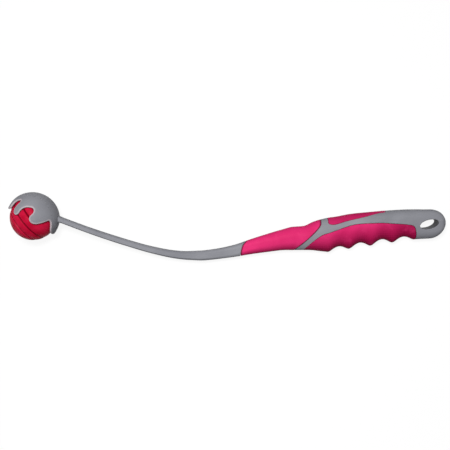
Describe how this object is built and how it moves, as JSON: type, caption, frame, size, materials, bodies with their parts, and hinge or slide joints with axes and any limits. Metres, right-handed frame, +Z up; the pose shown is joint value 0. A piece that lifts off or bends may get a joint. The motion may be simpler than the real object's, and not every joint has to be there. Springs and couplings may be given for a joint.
{
  "type": "dog ball thrower",
  "caption": "Hand-held ball thrower for dogs: a claw cup that grips a grooved rubber ball, a long bent arm and a shell handle with soft grips and a hanging hole.",
  "frame": {"origin": "middle of the part's box, on the floor that it lies on", "axes": "+X from the cup to the handle's tail, +Y roughly towards the thumb side, +Z up from the floor; the thrower lies on its side, its near side up"},
  "size_m": [0.555, 0.086, 0.0649],
  "materials": {
    "grey_plastic": "fine matt moulding texture",
    "pink_soft_grip": "soft-touch matt",
    "red_rubber": "satin rubber"
  },
  "bodies": {
    "thrower": {"claw_cup": "grey_plastic", "throwing_arm": "grey_plastic", "handle_shell_near": "grey_plastic", "handle_shell_far": "grey_plastic", "front_sleeve": "pink_soft_grip", "top_pad": "pink_soft_grip", "finger_grip": "pink_soft_grip"},
    "ball": {"ball": "red_rubber"}
  },
  "joints": [
    {"name": "ball_release", "type": "slide", "parent": "thrower", "child": "ball", "axis": [-0.522, -0.8269, -0.2092], "range_m": [0, 0.04]}
  ]
}
